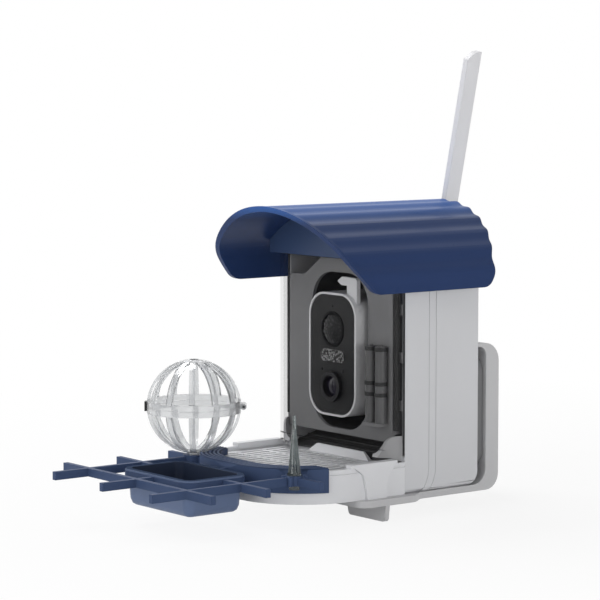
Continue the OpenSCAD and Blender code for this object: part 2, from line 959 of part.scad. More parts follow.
// Ribs and band of one half, drawn as the upper one
module half_cage() {
  intersection() {
    ball_wall();
    union() {
      for (a = [0:360 / rib_count:180 - 1]) rotate(a)
        translate([-cage_r, -rib_w / 2, part_gap]) cube([2 * cage_r, rib_w, cage_r]);
      translate([0, 0, part_gap]) cylinder(r = pole_r, h = cage_r);
    }
  }
  translate([0, 0, part_gap]) difference() {
    cylinder(r = cage_r, h = band_h - part_gap, $fn = 96);
    translate([0, 0, -cut]) cylinder(r = cage_r - cage_t - 1.4, h = band_h + 2 * cut, $fn = 96);
  }
}

// A knuckle with the web that ties it to the band
module knuckle(y, w, up) {
  translate([knuckle_x, y + w / 2, 0]) rotate([90, 0, 0]) cylinder(r = knuckle_r, h = w);
  translate([cage_r - 2, y - w / 2, up > 0 ? part_gap : -knuckle_r])
    cube([knuckle_x - cage_r + 2, w, knuckle_r - part_gap]);
}

module knuckle_room(y, w) {
  translate([knuckle_x, y + w / 2, 0]) rotate([90, 0, 0])
    cylinder(r = knuckle_r + seat, h = w);
}

module hinge_bore(r) {
  translate([knuckle_x, 2 * knuckle_w, 0]) rotate([90, 0, 0]) cylinder(r = r, h = 4 * knuckle_w);
}

module cage_lid() {
  pole_hole = 3.5;
  color(clear) from_wall() at_ball() difference() {
    union() {
      difference() {
        half_cage();
        knuckle_room(0, knuckle_w + 2 * seat);
        translate([0, 0, cage_r / 2]) cylinder(r = pole_hole, h = cage_r);
      }
      for (y = [-1, 1]) knuckle(y * (knuckle_w + seat), knuckle_w, 1);
    }
    hinge_bore(cage_pin_r + fit);
  }
}

cage_collar_h = 5;
cage_collar_r = 5;

module cage_base() {
  color(clear) from_wall() at_ball() difference() {
    union() {
      difference() {
        mirror([0, 0, 1]) half_cage();
        for (y = [-1, 1]) knuckle_room(y * (knuckle_w + seat), knuckle_w + 2 * seat);
      }
      difference() {
        translate([0, 0, boss_z - cage_z]) cylinder(r = cage_collar_r, h = cage_collar_h);
        sphere(cage_r - cage_t, $fn = 96);
      }
      knuckle(0, knuckle_w, -1);
    }
    hinge_bore(cage_pin_r + 0.02);
  }
}

module cage_hinge_pin() {
  len = 3 * knuckle_w + 2 * seat;
  color(metal) from_wall() at_ball()
    translate([knuckle_x, len / 2, 0]) rotate([90, 0, 0]) cylinder(r = cage_pin_r, h = len);
}

module cage_latch() {
  w = 7;
  color(dim) from_wall() at_ball() difference() {
    translate([-cage_r - 1.6, -w / 2, -band_h + 1]) cube([2.4, w, 2 * band_h - 2]);
    translate([0, 0, -band_h]) cylinder(r = cage_r + side_gap, h = 2 * band_h, $fn = 96);
  }
}

// Roof

// The vault is a three-centred arch: two tight sides and one wide top
roof_half = roof_w / 2;
side_c = roof_half - roof_side_r;
top_r = (roof_half * roof_half + roof_rise * roof_rise - 2 * roof_half * roof_side_r)
  / (2 * (roof_rise - roof_side_r));
join_a = atan(side_c / (top_r - roof_rise));
top_len = top_r * join_a * PI / 180;
arch_len = top_len + roof_side_r * (90 - join_a) * PI / 180;

// Angle from upright of the arch's normal at a distance along it from the crown
function arch_angle(s) = abs(s) < top_len ? s / top_r * 180 / PI
  : sign(s) * (join_a + (abs(s) - top_len) / roof_side_r * 180 / PI);
function arch_point(s, out) =
  let (a = arch_angle(s), top = abs(s) < top_len,
       c = top ? [0, roof_rise - top_r] : [sign(s) * side_c, 0],
       r = (top ? top_r : roof_side_r) + out)
  [c[0] + r * sin(a), roof_low + c[1] + r * cos(a)];
function arch(out, steps) =
  [for (i = [0:steps]) arch_point(arch_len * (2 * i / steps - 1), out)];
function flute(s) = -flute_h * (1 - cos(360 * s / flute_pitch)) / 2;
flute_steps = 112;
fluted_arch = [for (i = [0:flute_steps])
  let (s = arch_len * (2 * i / flute_steps - 1)) arch_point(s, flute(s))];
function backwards(v) = [for (i = [len(v) - 1:-1:0]) v[i]];
roof_inner = -roof_t - flute_h;

function dropped(p) = [p[0], roof_low - cut];

// Front view of the vault, its skirts carried on below their edge to be trimmed
module vault(outer) {
  inner = backwards(arch(roof_inner, 56));
  last = len(outer) - 1;
  polygon(concat([dropped(outer[0])], outer, [dropped(outer[last]), dropped(inner[0])], inner,
    [dropped(inner[len(inner) - 1])]));
}

rim_front_low = -42;
rim_front_mid = -62;
rim_front_top = -78;
rim_rear_low = 74;
rim_rear_mid = 75;
rim_rear_top = 98;
rim_mid_z = roof_low + 23;

// Side view of the roof, raked at both ends
module roof_side() {
  top = roof_low + roof_rise + cut;
  polygon(rounded([
    [rim_front_low, roof_low, 14], [rim_front_mid, rim_mid_z, 50], [rim_front_top, top, 0],
    [rim_rear_top, top, 0], [rim_rear_mid, rim_mid_z, 30], [rim_rear_low, roof_low, 12]]));
}

hinge_y = 85;
hinge_z = roof_low + roof_rise - 15.5;
lug_r = 4.5;
hinge_pin_r = 2;
post_x = 31;
post_t = 6;
lug_t = 4;
lug_x = post_x + post_t / 2 + seat + lug_t / 2;
lug_x_in = post_x - post_t / 2 - seat - lug_t / 2;

module roof_lugs() {
  intersection() {
    union() for (x = [-lug_x, -lug_x_in, lug_x_in, lug_x]) translate([x, 0, 0]) across(lug_t) {
      translate([hinge_y, hinge_z]) circle(lug_r);
      translate([hinge_y - lug_r, hinge_z]) square([2 * lug_r, roof_rise]);
    }
    along(hinge_y - 2 * lug_r, hinge_y + 2 * lug_r)
      polygon(arch(roof_inner + cut / 2, 56));
  }
}

front_border = 2.6; // plain edge in front of the flutes

module roof_shell() {
  deep = 240;
  color(blue) from_wall() difference() {
    union() {
      intersection() {
        along(-deep / 2, deep / 2) vault(fluted_arch);
        across(roof_w + 2) roof_side();
      }
      intersection() {
        along(-deep / 2, deep / 2) vault(arch(0, 56));
        across(roof_w + 2) difference() {
          roof_side();
          translate([front_border, 0]) roof_side();
        }
      }
      roof_lugs();
    }
    translate([0, hinge_y, hinge_z]) bar_x(hinge_pin_r + 0.02, -lug_x - lug_t, lug_x + lug_t);
  }
}

liner_low = body_h + seat;
liner_t = 2.5;
liner_rear = body_d - seat;

module roof_liner() {
  color(blue) from_wall() difference() {
    intersection() {
      along(-window_out, liner_rear) polygon(arch(roof_inner - seat, 56));
      translate([-half_w, -window_out - cut, liner_low])
        cube([body_w, liner_rear + window_out + 2 * cut, roof_rise]);
    }
    translate([-half_w - cut, -window_out + liner_t, liner_low + liner_t])
      cube([body_w + 2 * cut, liner_rear + window_out - 2 * liner_t, roof_rise]);
  }
}

module roof_hinge_posts() {
  foot_low = body_h - 33;
  foot_high = body_h - 3;
  foot_t = 5.5;
  color(gray) from_wall() both_sides() translate([post_x, 0, 0]) difference() {
    across(post_t) {
      translate([hinge_y, hinge_z]) circle(lug_r);
      polygon([[body_d, foot_low], [body_d + foot_t, foot_low], [body_d + foot_t + 3, foot_high],
        [hinge_y + lug_r, hinge_z], [hinge_y - lug_r, hinge_z], [body_d, foot_high]]);
    }
    translate([0, hinge_y, hinge_z]) bar_x(hinge_pin_r + fit, -post_t, post_t);
  }
}

module roof_hinge_pin() {
  color(metal) from_wall() translate([0, hinge_y, hinge_z])
    bar_x(hinge_pin_r, -lug_x - lug_t / 2, lug_x + lug_t / 2);
}

// Antenna

socket_r = 5.5;
socket_t = 3.5;
stub_r = 3.8;
stub_len = 13;
barrel_r = 5.6;
pivot_y = 112.5;
pivot_r = 6;
ear_t = 2.3;
elbow_pin_r = 1.8;
fork_y = pivot_y - pivot_r - 1;

module at_antenna() {
  translate([antenna_x, 0, antenna_z]) children();
}

module antenna_socket() {
  color(dim) from_wall() at_antenna() {
    bar_y(socket_thread_r, body_d - wall - 2, body_d);
    bar_y(socket_r, body_d, body_d + socket_t);
    bar_y(stub_r, body_d + socket_t, body_d + socket_t + stub_len);
  }
}

module antenna_base() {
  start = body_d + socket_t + seat;
  color(gray) from_wall() at_antenna() rotate([0, lean, 0]) difference() {
    union() {
      bar_y(barrel_r, start, fork_y);
      for (x = [-1, 1]) translate([x * (blade_t + ear_t + 2 * seat) / 2, 0, 0]) across(ear_t) {
        translate([pivot_y, 0]) circle(pivot_r);
        translate([fork_y - 4, -pivot_r + 1]) square([pivot_y - fork_y + 4, 2 * pivot_r - 2]);
      }
    }
    bar_y(stub_r + fit, start - cut, body_d + socket_t + stub_len + seat);
    translate([0, pivot_y, 0]) bar_x(elbow_pin_r + 0.02, -pivot_r, pivot_r);
  }
}

module antenna_pin() {
  reach = blade_t / 2 + ear_t + seat;
  color(metal) from_wall() at_antenna() rotate([0, lean, 0])
    translate([0, pivot_y, 0]) bar_x(elbow_pin_r, -reach, reach);
}

module antenna_blade() {
  w = blade_w / 2;
  color(gray) from_wall() at_antenna() rotate([0, lean, 0]) translate([0, pivot_y, 0])
    difference() {
      across(blade_t) {
        circle(pivot_r);
        polygon(rounded([
          [-pivot_r + 0.6, 0, 0], [pivot_r - 0.6, 0, 0], [w, 26, 20], [w, blade_h, 0.8],
          [-w * 0.1, blade_h - 1.4, 2], [-w, blade_h - 6.4, 1.5], [-w, 26, 20]], 6));
      }
      bar_x(elbow_pin_r + fit, -blade_t, blade_t);
    }
}

// Bracket and wall mount

heel_out_r = 12;
crown_out_r = 14;
base_narrow = half_w - 0.5;
curve_rear = 18;
curve_front = 2;
curve_steps = 10;
screw_x = 11;
screw_z = 20;
mount_screw_r = 2;
mount_head_r = 4;
mount_head_h = 3.6;

module at_mount_screws() {
  for (x = [-1, 1], z = [-1, 1]) translate([x * screw_x, 0, mount_z + z * screw_z]) children();
}

// Right edge of the base, which swells out in an S-curve towards the front
base_edge = [for (i = [0:curve_steps])
  let (t = i / curve_steps)
  [base_narrow + (base_half - base_narrow) * (1 - cos(180 * t)) / 2,
   curve_rear + (curve_front - curve_rear) * t, 0]];

module cradle_bracket() {
  lip_z = upright_h - lip_t;
  foot_in = 31.7;
  foot_y = -24.2;
  foot_t = 3.8;
  color(gray) from_wall() difference() {
    union() {
      across(2 * base_narrow) polygon(rounded([
        [curve_rear, -base_t, 0], [back_y, -base_t, heel_out_r],
        [back_y, upright_h, crown_out_r], [body_d, upright_h, 0], [body_d, lip_z, 0],
        [upright_y, lip_z, lip_r], [upright_y, 0, inner_r], [curve_rear, 0, 0]]));
      plan(-base_t, 0) polygon(rounded(concat(base_edge,
        [[base_half, base_front, 10], [-base_half, base_front, 10]],
        backwards([for (p = base_edge) [-p[0], p[1], 0]]))));
      both_sides() along(foot_y, foot_y + foot_t) polygon(rounded([
        [foot_in, -base_t, 0], [foot_in + 3, -base_t - foot_h, 3],
        [base_half - 1.5, -base_t - foot_h, 3], [base_half, -base_t, 0]]));
    }
    at_mount_screws() {
      bar_y(mount_screw_r + fit, upright_y - cut, back_y + cut);
      bar_y(mount_head_r + fit, upright_y - cut, upright_y + mount_head_h + fit);
    }
  }
}

module mount_screws() {
  color(metal) from_wall() at_mount_screws() {
    bar_y(mount_head_r, upright_y + fit, upright_y + mount_head_h);
    bar_y(mount_screw_r, upright_y + mount_head_h, back_y + flange_t);
  }
}

flange_t = 5;
plate_t = 5;
arm_w = 30;
arm_h = 50;
arm_t = 3.5;

module wall_plate() {
  color(gray) from_wall() difference() {
    union() {
      along(wall_y - plate_t, wall_y) translate([0, mount_z]) round_rect(plate_w, plate_h, 6);
      along(back_y, wall_y - plate_t) translate([0, mount_z]) round_rect(arm_w, arm_h, 5);
    }
    translate([-arm_w / 2 + arm_t, back_y + flange_t, mount_z - arm_h])
      cube([arm_w - 2 * arm_t, standoff - plate_t - flange_t, 2 * arm_h]);
    at_mount_screws() bar_y(mount_screw_r + fit, back_y - cut, back_y + flange_t + cut);
    for (x = [-1, 1], z = [-1, 1])
      translate([x * screw_dx / 2, 0, mount_z + z * screw_dz / 2])
        bar_y(screw_d / 2, wall_y - plate_t - cut, wall_y + cut);
  }
}

wall_plate();
mount_screws();
cradle_bracket();
rear_cover();
cover_screws();
side_clips();
rear_shell();
seam_band();
front_shell();
hopper_floor();
partition();
camera_shroud();
camera_shell();
camera_face();
pir_lens();
spotlight_window();
lens_ring();
lens_glass();
circuit_board();
camera_latch();
battery_cells();
battery_clip();
smoked_window();
seed_deflector();
seed_tray();
tray_grid();
tray_clip_left();
tray_clip_right();
perch_frame();
water_basin();
fruit_spike();
cage_base();
cage_lid();
cage_hinge_pin();
cage_latch();
roof_shell();
roof_liner();
roof_hinge_posts();
roof_hinge_pin();
antenna_socket();
antenna_base();
antenna_pin();
antenna_blade();
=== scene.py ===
import json
import math

import bpy
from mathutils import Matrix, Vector


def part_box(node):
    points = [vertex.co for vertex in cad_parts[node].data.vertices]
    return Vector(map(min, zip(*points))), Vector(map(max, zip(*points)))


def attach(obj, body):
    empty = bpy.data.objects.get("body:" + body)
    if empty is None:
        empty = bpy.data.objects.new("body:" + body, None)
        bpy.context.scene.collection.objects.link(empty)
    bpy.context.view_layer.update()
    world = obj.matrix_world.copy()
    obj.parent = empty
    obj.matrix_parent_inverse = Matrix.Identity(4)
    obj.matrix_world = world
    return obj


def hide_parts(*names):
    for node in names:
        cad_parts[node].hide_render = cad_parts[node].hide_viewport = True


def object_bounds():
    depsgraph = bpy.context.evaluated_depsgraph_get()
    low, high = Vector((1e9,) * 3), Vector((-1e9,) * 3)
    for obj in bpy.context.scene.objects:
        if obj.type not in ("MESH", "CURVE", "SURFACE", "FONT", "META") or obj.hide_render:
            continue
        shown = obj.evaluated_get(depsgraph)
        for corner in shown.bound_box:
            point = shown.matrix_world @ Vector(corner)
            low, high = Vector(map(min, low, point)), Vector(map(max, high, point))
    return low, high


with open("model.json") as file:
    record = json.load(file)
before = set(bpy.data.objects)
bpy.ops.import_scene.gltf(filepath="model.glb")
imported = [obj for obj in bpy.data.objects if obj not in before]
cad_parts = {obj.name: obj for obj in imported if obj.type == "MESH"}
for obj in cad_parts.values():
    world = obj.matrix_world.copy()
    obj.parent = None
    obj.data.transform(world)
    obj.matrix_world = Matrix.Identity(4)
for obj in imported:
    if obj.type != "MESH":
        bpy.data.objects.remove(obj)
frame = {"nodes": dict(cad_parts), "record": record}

cad_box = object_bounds()

# Viewpoint. The feeder is seen from its right front corner, a little above the tray,
# through a long lens, so that upright edges stay nearly parallel.
scene = bpy.context.scene
scene.view_settings.view_transform = "Standard"
EYE = Vector((1.4431, -1.2964, 0.2588))
TURN = math.radians(52.1)
DIP = math.radians(5.326)
SENSOR_MM = 36
PHOTO_PX = 600
FOCAL_PX = 2478
bpy.ops.object.select_all(action="DESELECT")
bpy.ops.object.camera_add(location=EYE, rotation=(math.pi / 2 - DIP, 0, TURN))
camera = bpy.context.object
camera.data.sensor_width = SENSOR_MM
camera.data.lens = SENSOR_MM * FOCAL_PX / PHOTO_PX
scene.camera = camera

# Studio. A pale floor under the feeder's feet that fades to white, a white surround,
# and soft lamps: the main one high at the left, weaker ones at the right, front, left and rear.
FLOOR_GAP = 0.0005
FLOOR_SIZE = 6
floor_height = cad_box[0][2] - FLOOR_GAP
bpy.ops.mesh.primitive_plane_add(size=FLOOR_SIZE, location=(0, 0, floor_height))
floor = bpy.context.object
floor.name = "studio_floor"
bpy.ops.object.transform_apply(location=True)


class Shade:
    """A socket in a material. Arithmetic on it adds Math nodes to that material."""

    def __init__(self, tree, socket):
        self.tree = tree
        self.socket = socket

    def add(self, kind, settings, sockets, out=0):
        """Adds a node: its settings first, then the values or links of its sockets."""
        made = self.tree.nodes.new("ShaderNode" + kind)
        for name, setting in settings.items():
            if name == "stops":
                ramp = made.color_ramp
                while len(ramp.elements) < len(setting):
                    ramp.elements.new(1)
                for element, (place, colour) in zip(ramp.elements, setting):
                    element.position = place
                    element.color = colour
            else:
                setattr(made, name, setting)
        for name, value in sockets.items():
            if isinstance(value, Shade):
                self.tree.links.new(value.socket, made.inputs[name])
            else:
                made.inputs[name].default_value = value
        return Shade(self.tree, made.outputs[out])

    def calculate(self, operation, first, second):
        """Adds a Math node with two inputs, in their order."""
        return self.add("Math", {"operation": operation}, {0: first, 1: second})

    def __add__(self, other):
        return self.calculate("ADD", self, other)

    def __radd__(self, other):
        return self.calculate("ADD", other, self)

    def __sub__(self, other):
        return self.calculate("SUBTRACT", self, other)

    def __rsub__(self, other):
        return self.calculate("SUBTRACT", other, self)

    def __mul__(self, other):
        return self.calculate("MULTIPLY", self, other)

    def __rmul__(self, other):
        return self.calculate("MULTIPLY", other, self)

    def mix(self, low, high):
        """Blends two colours by this value."""
        return self.add("Mix", {"data_type": "RGBA"}, {0: self, 6: low, 7: high}, out=2)


def new_material(name):
    """An empty Principled material, with its shader and its Object coordinates."""
    material = bpy.data.materials.new(name)
    material.use_nodes = True
    tree = material.node_tree
    shader = tree.nodes["Principled BSDF"]
    start = Shade(tree, None).add("TexCoord", {}, {}, out="Object")
    return material, shader, start


def join(value, shader, name):
    """Feeds a value into one of a shader's inputs."""
    value.tree.links.new(value.socket, shader.inputs[name])


def white_to_the_eye(tree, lit, strength):
    """Replaces a lit shader by plain white for what the camera, metal and glass see."""
    start = Shade(tree, None)
    camera_ray = start.add("LightPath", {}, {}, out="Is Camera Ray")
    glossy_ray = start.add("LightPath", {}, {}, out="Is Glossy Ray")
    clear_ray = start.add("LightPath", {}, {}, out="Is Transmission Ray")
    seen = camera_ray.calculate("MAXIMUM", camera_ray, glossy_ray)
    seen = seen.calculate("MAXIMUM", seen, clear_ray)
    white = start.add("Emission", {}, {"Color": (1, 1, 1, 1), "Strength": 1.0})
    return start.add("MixShader", {}, {0: seen * strength, 1: lit, 2: white})


CLOUD_SCALE = 3.0
SHADOW_REACH = 0.7
SHADOW_DEPTH = 0.16
floor_paint, floor_shader, floor_start = new_material("studio_floor_paint")
cloud = floor_start.add("TexNoise", {}, {"Vector": floor_start, "Scale": CLOUD_SCALE})
join(cloud.mix((0.82, 0.82, 0.82, 1), (0.86, 0.86, 0.86, 1)), floor_shader, "Base Color")
floor_shader.inputs["Roughness"].default_value = 0.9
floor_shader.inputs["Specular IOR Level"].default_value = 0.1
from_middle = floor_start.add("VectorMath", {"operation": "LENGTH"}, {0: floor_start}, out="Value")
nearness = floor_start.calculate("MAXIMUM", 1 - from_middle * (1 / SHADOW_REACH), 0)
lit_floor = Shade(floor_paint.node_tree, floor_shader.outputs[0])
shown_floor = white_to_the_eye(floor_paint.node_tree, lit_floor, 1 - SHADOW_DEPTH * nearness)
floor_out = floor_paint.node_tree.nodes["Material Output"]
floor_paint.node_tree.links.new(shown_floor.socket, floor_out.inputs["Surface"])
floor.data.materials.append(floor_paint)

world = bpy.data.worlds.new("studio")
world.use_nodes = True
scene.world = world
SURROUND = 0.27
sky = world.node_tree.nodes["Background"]
sky.inputs["Color"].default_value = (1, 1, 1, 1)
sky.inputs["Strength"].default_value = SURROUND
shown_sky = white_to_the_eye(world.node_tree, Shade(world.node_tree, sky.outputs[0]), 1.0)
world_out = world.node_tree.nodes["World Output"]
world.node_tree.links.new(shown_sky.socket, world_out.inputs["Surface"])

LAMP_SIZE = 1.0
MIDDLE = Vector((0, -0.15, 0.05))


def softbox(name, place, watts):
    """A square lamp that faces the feeder's middle."""
    bpy.ops.object.light_add(type="AREA", location=place)
    lamp = bpy.context.object
    lamp.name = name
    lamp.data.size = LAMP_SIZE
    lamp.data.energy = watts
    lamp.rotation_euler = (MIDDLE - Vector(place)).to_track_quat("-Z", "Y").to_euler()


softbox("high_lamp", (-0.9, -0.1, 1.3), watts=17)
softbox("rear_lamp", (0.4, 1.7, 0.3), watts=5)
softbox("right_lamp", (1.7, -0.2, 0.0), watts=13.5)
softbox("front_lamp", (0.3, -1.8, 0.4), watts=9)
softbox("left_lamp", (-1.2, -1.3, 0.5), watts=3.5)

# Wall plate and bracket. Light gray moulded plastic: a channel screwed to the wall, and an
# L-shaped cradle that plated steel screws hold to it and that carries the housing on its base.
body_of = {}
for body, nodes in frame["record"]["behaviour"]["bodies"].items():
    for node in nodes:
        body_of[node] = body
SMOOTH_ANGLE = math.radians(32)
FLAT_ANGLE = math.radians(0.2)
WELD = 1e-5
FLOW_SCALE = 18.0
FLOW_SHARE = 0.7
SPECK_SCALE = 900.0
SHEEN_SPREAD = 0.12
PIT_SCALE = 2600.0
PIT_DEPTH = 0.0002


def smooth_copy(node, material):
    """Stands a welded, smooth-shaded copy in for a node and gives it a finish."""
    source = frame["nodes"][node]
    bpy.ops.object.select_all(action="DESELECT")
    source.select_set(True)
    bpy.context.view_layer.objects.active = source
    bpy.ops.object.duplicate()
    piece = bpy.context.object
    piece.name = node + "_skin"
    bpy.ops.object.mode_set(mode="EDIT")
    bpy.ops.mesh.select_all(action="SELECT")
    bpy.ops.mesh.remove_doubles(threshold=WELD)
    bpy.ops.mesh.dissolve_degenerate(threshold=WELD)
    bpy.ops.mesh.dissolve_limited(angle_limit=FLAT_ANGLE)
    bpy.ops.object.mode_set(mode="OBJECT")
    bpy.ops.object.shade_smooth_by_angle(angle=SMOOTH_ANGLE)
    bpy.ops.object.modifier_add(type="WEIGHTED_NORMAL")
    piece.modifiers[-1].keep_sharp = True
    bpy.ops.object.modifier_apply(modifier=piece.modifiers[-1].name)
    piece.data.materials.clear()
    piece.data.materials.append(material)
    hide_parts(node)
    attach(piece, body_of[node])
    return piece


def moulded_plastic(name, colour, roughness, gloss=0.4, grain=0.06, edge=0.0004, spread=0.05):
    """Moulded plastic: a fine spark-eroded grain, faint flow marks and softened edges."""
    material, shader, start = new_material(name)
    shader.inputs["Specular IOR Level"].default_value = gloss
    flow = start.add("TexNoise", {}, {"Vector": start, "Scale": FLOW_SCALE, "Detail": 3.0})
    speck = start.add("TexNoise", {}, {"Vector": start, "Scale": SPECK_SCALE, "Detail": 2.0})
    dark = tuple(part * (1 - spread) for part in colour) + (1,)
    light = tuple(min(1, part * (1 + spread)) for part in colour) + (1,)
    join((FLOW_SHARE * flow + (1 - FLOW_SHARE) * speck).mix(dark, light), shader, "Base Color")
    join(roughness - SHEEN_SPREAD / 2 + SHEEN_SPREAD * speck, shader, "Roughness")
    rounded = start.add("Bevel", {"samples": 6}, {"Radius": edge})
    pitted = start.add("TexNoise", {}, {"Vector": start, "Scale": PIT_SCALE, "Detail": 1.0})
    bump = start.add("Bump", {}, {"Strength": grain, "Distance": PIT_DEPTH,
                                  "Height": pitted, "Normal": rounded})
    join(bump, shader, "Normal")
    return material


bracket_gray = moulded_plastic("bracket_gray", (0.56, 0.56, 0.57), 0.5)
for node in ("wall_plate", "cradle_bracket"):
    smooth_copy(node, bracket_gray)

BRUSH_SCALE = (40, 900, 900)
BRUSH_SHADE = 0.8
BRUSH_SPREAD = 0.2


def brushed_metal(name, colour, roughness):
    """Bright metal with a turned sheen."""
    material, shader, start = new_material(name)
    stretched = start.add("Mapping", {}, {"Vector": start, "Scale": BRUSH_SCALE})
    lines = start.add("TexNoise", {}, {"Vector": stretched, "Scale": 1.0, "Detail": 4.0})
    dark = tuple(part * BRUSH_SHADE for part in colour) + (1,)
    join(lines.mix(dark, colour + (1,)), shader, "Base Color")
    join(roughness - BRUSH_SPREAD / 2 + BRUSH_SPREAD * lines, shader, "Roughness")
    shader.inputs["Metallic"].default_value = 1.0
    return material


zinc = brushed_metal("zinc_plating", (0.6, 0.6, 0.62), 0.35)
smooth_copy("mount_screws", zinc)

# Rear cover. A moulded cup screwed to the housing's back, which keeps the housing off the
# bracket, painted dark gray as painted shade in the gap between housing and bracket; two black
# plastic catches stand beside it on the housing.
# Painted shade: this dark gray stands for the shade in the gap between housing and bracket; the antenna
# socket wears it too.
dark_gray_and_gap_shade = moulded_plastic("dark_gray_and_gap_shade", (0.2, 0.2, 0.205), 0.6)
smooth_copy("rear_cover", dark_gray_and_gap_shade)
smooth_copy("cover_screws", zinc)
catch_black = moulded_plastic("catch_black", (0.012, 0.012, 0.013), 0.5)
smooth_copy("side_clips", catch_black)

# Housing. Light gray moulded shells that close on a narrow band, so that two fine seams run up
# each side and bend forward at the bottom; the cheeks behind the window's corners are painted a
# darker, duller gray, as painted shade behind the smoked window.
housing_gray = moulded_plastic("housing_gray", (0.66, 0.665, 0.685), 0.45)
for node in ("rear_shell", "seam_band"):
    smooth_copy(node, housing_gray)
front_shell = smooth_copy("front_shell", housing_gray)


def second_finish(piece, material, wanted):
    """Gives the faces that pass a test another finish."""
    piece.data.materials.append(material)
    for face in piece.data.polygons:
        if wanted(face):
            face.material_index = len(piece.data.materials) - 1


CHEEK_LAP = 0.0005
pane_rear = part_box("smoked_window")[1].y


def on_a_cheek(face):
    """True for the shell's faces behind the window's corners."""
    return face.center.y < pane_rear - CHEEK_LAP


# Painted shade: the same shell, painted darker where it stands behind the smoked window.
cheek_shade_gray = moulded_plastic("cheek_shade_gray", (0.5, 0.5, 0.51), 0.5, gloss=0.2)
second_finish(front_shell, cheek_shade_gray, on_a_cheek)

# Inside of the hopper. Gray moulded plastic: a sloping floor that feeds seed to the mouth, and an
# upright plate that carries the cells and, behind its oval opening, a black tunnel for the camera.
inner_gray = moulded_plastic("inner_gray", (0.25, 0.25, 0.255), 0.5, gloss=0.2)
smooth_copy("partition", inner_gray)
# Painted shade: the hopper floor is painted a near-black gray, for the shade deep inside the hopper.
floor_shade_gray = moulded_plastic("floor_shade_gray", (0.085, 0.085, 0.087), 0.55, gloss=0.2)
smooth_copy("hopper_floor", floor_shade_gray)
smooth_copy("camera_shroud", catch_black)

# Shade strips. Painted shade: a black strip stands along each side of the plate, between
# it and the side panel, with a narrower lip in front, where there is only a shaded gap.
SHADE_STRIP_WIDTH = 0.0041
SHADE_STRIP_DEPTH = 0.0021
SHADE_STRIP_SIDE_GAP = 0.0011
SHADE_STRIP_SETBACK = 0.0022
SHADE_STRIP_BELOW = 0.009
SHADE_STRIP_ABOVE = 0.0177
SHADE_STRIP_LIP = 0.0006
SHADE_STRIP_EDGE = 0.0004
EDGE_STEPS = 2
FACING = 0.9


def block(name, low, high):
    """A box between two corners, with its place in its mesh."""
    bpy.ops.object.select_all(action="DESELECT")
    bpy.ops.mesh.primitive_cube_add(size=1, location=(Vector(low) + Vector(high)) / 2)
    piece = bpy.context.object
    piece.name = name
    piece.scale = Vector(high) - Vector(low)
    bpy.ops.object.transform_apply(location=True, scale=True)
    return piece


def select_faces(piece, wanted):
    """Goes into edit mode with only the faces selected that pass a test."""
    bpy.ops.object.mode_set(mode="EDIT")
    bpy.ops.mesh.select_mode(type="FACE")
    bpy.ops.mesh.select_all(action="DESELECT")
    bpy.ops.object.mode_set(mode="OBJECT")
    for face in piece.data.polygons:
        face.select = wanted(face)
    bpy.ops.object.mode_set(mode="EDIT")


def faces_front(face):
    """True for a face that looks out of the feeder's front."""
    return face.normal.y < -FACING


def faces_up(face):
    """True for a face that looks up."""
    return face.normal.z > FACING


def push(distance):
    """Extrudes the selected faces along Y."""
    bpy.ops.mesh.extrude_region_move(TRANSFORM_OT_translate={"value": (0, distance, 0)})


def finished(piece, edge, material, body):
    """Rounds a piece's edges, then gives it a finish and a body to ride on."""
    bpy.ops.object.mode_set(mode="OBJECT")
    bpy.ops.object.modifier_add(type="BEVEL")
    piece.modifiers[-1].width = edge
    piece.modifiers[-1].segments = EDGE_STEPS
    piece.modifiers[-1].limit_method = "ANGLE"
    bpy.ops.object.modifier_apply(modifier=piece.modifiers[-1].name)
    bpy.ops.object.shade_smooth_by_angle(angle=SMOOTH_ANGLE)
    piece.data.materials.append(material)
    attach(piece, body)


def twin(piece, name, distance, body):
    """Copies a piece along X, with the copy's place in its own mesh."""
    bpy.ops.object.select_all(action="DESELECT")
    piece.select_set(True)
    bpy.context.view_layer.objects.active = piece
    bpy.ops.object.duplicate_move(TRANSFORM_OT_translate={"value": (distance, 0, 0)})
    copy = bpy.context.object
    copy.name = name
    bpy.ops.object.transform_apply(location=True)
    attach(copy, body)


# Painted shade: the strips are black, standing in for the shaded gap beside the plate.
shade_strip_black = moulded_plastic("shade_strip_black", (0.045, 0.045, 0.046), 0.7, gloss=0.2)
plate_low, plate_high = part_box("partition")
shade_strip_side = plate_high.x - SHADE_STRIP_SIDE_GAP
shade_strip_rear = pane_rear - SHADE_STRIP_SETBACK
shade_strip = block("shade_strip_right",
             (shade_strip_side - SHADE_STRIP_WIDTH, shade_strip_rear - SHADE_STRIP_DEPTH, plate_low.z + SHADE_STRIP_BELOW),
             (shade_strip_side, shade_strip_rear, plate_high.z - SHADE_STRIP_ABOVE))
select_faces(shade_strip, faces_front)
bpy.ops.mesh.inset(thickness=2 * SHADE_STRIP_LIP)
push(-SHADE_STRIP_LIP)
finished(shade_strip, SHADE_STRIP_EDGE, shade_strip_black, "feeder")
twin(shade_strip, "shade_strip_left", SHADE_STRIP_WIDTH - 2 * shade_strip_side, "feeder")

# Camera. A white moulded shell with a polished black front that holds the motion sensor,
# the light window and the camera's lens ring; a white latch keeps it in the oval.
camera_white = moulded_plastic("camera_white", (0.86, 0.86, 0.87), 0.4)
for node in ("camera_shell", "camera_latch"):
    smooth_copy(node, camera_white)
camera_black = moulded_plastic("camera_black", (0.014, 0.014, 0.015), 0.25, gloss=0.2, grain=0.01)
smooth_copy("camera_face", camera_black)
ring_black = moulded_plastic("ring_black", (0.004, 0.004, 0.005), 0.3, gloss=0.05, grain=0.01)
smooth_copy("lens_ring", ring_black)

# Sensor bezel. A turned black ring let into the camera's front round the motion sensor's
# lens, a little proud of the front.
RING_STEPS = 72


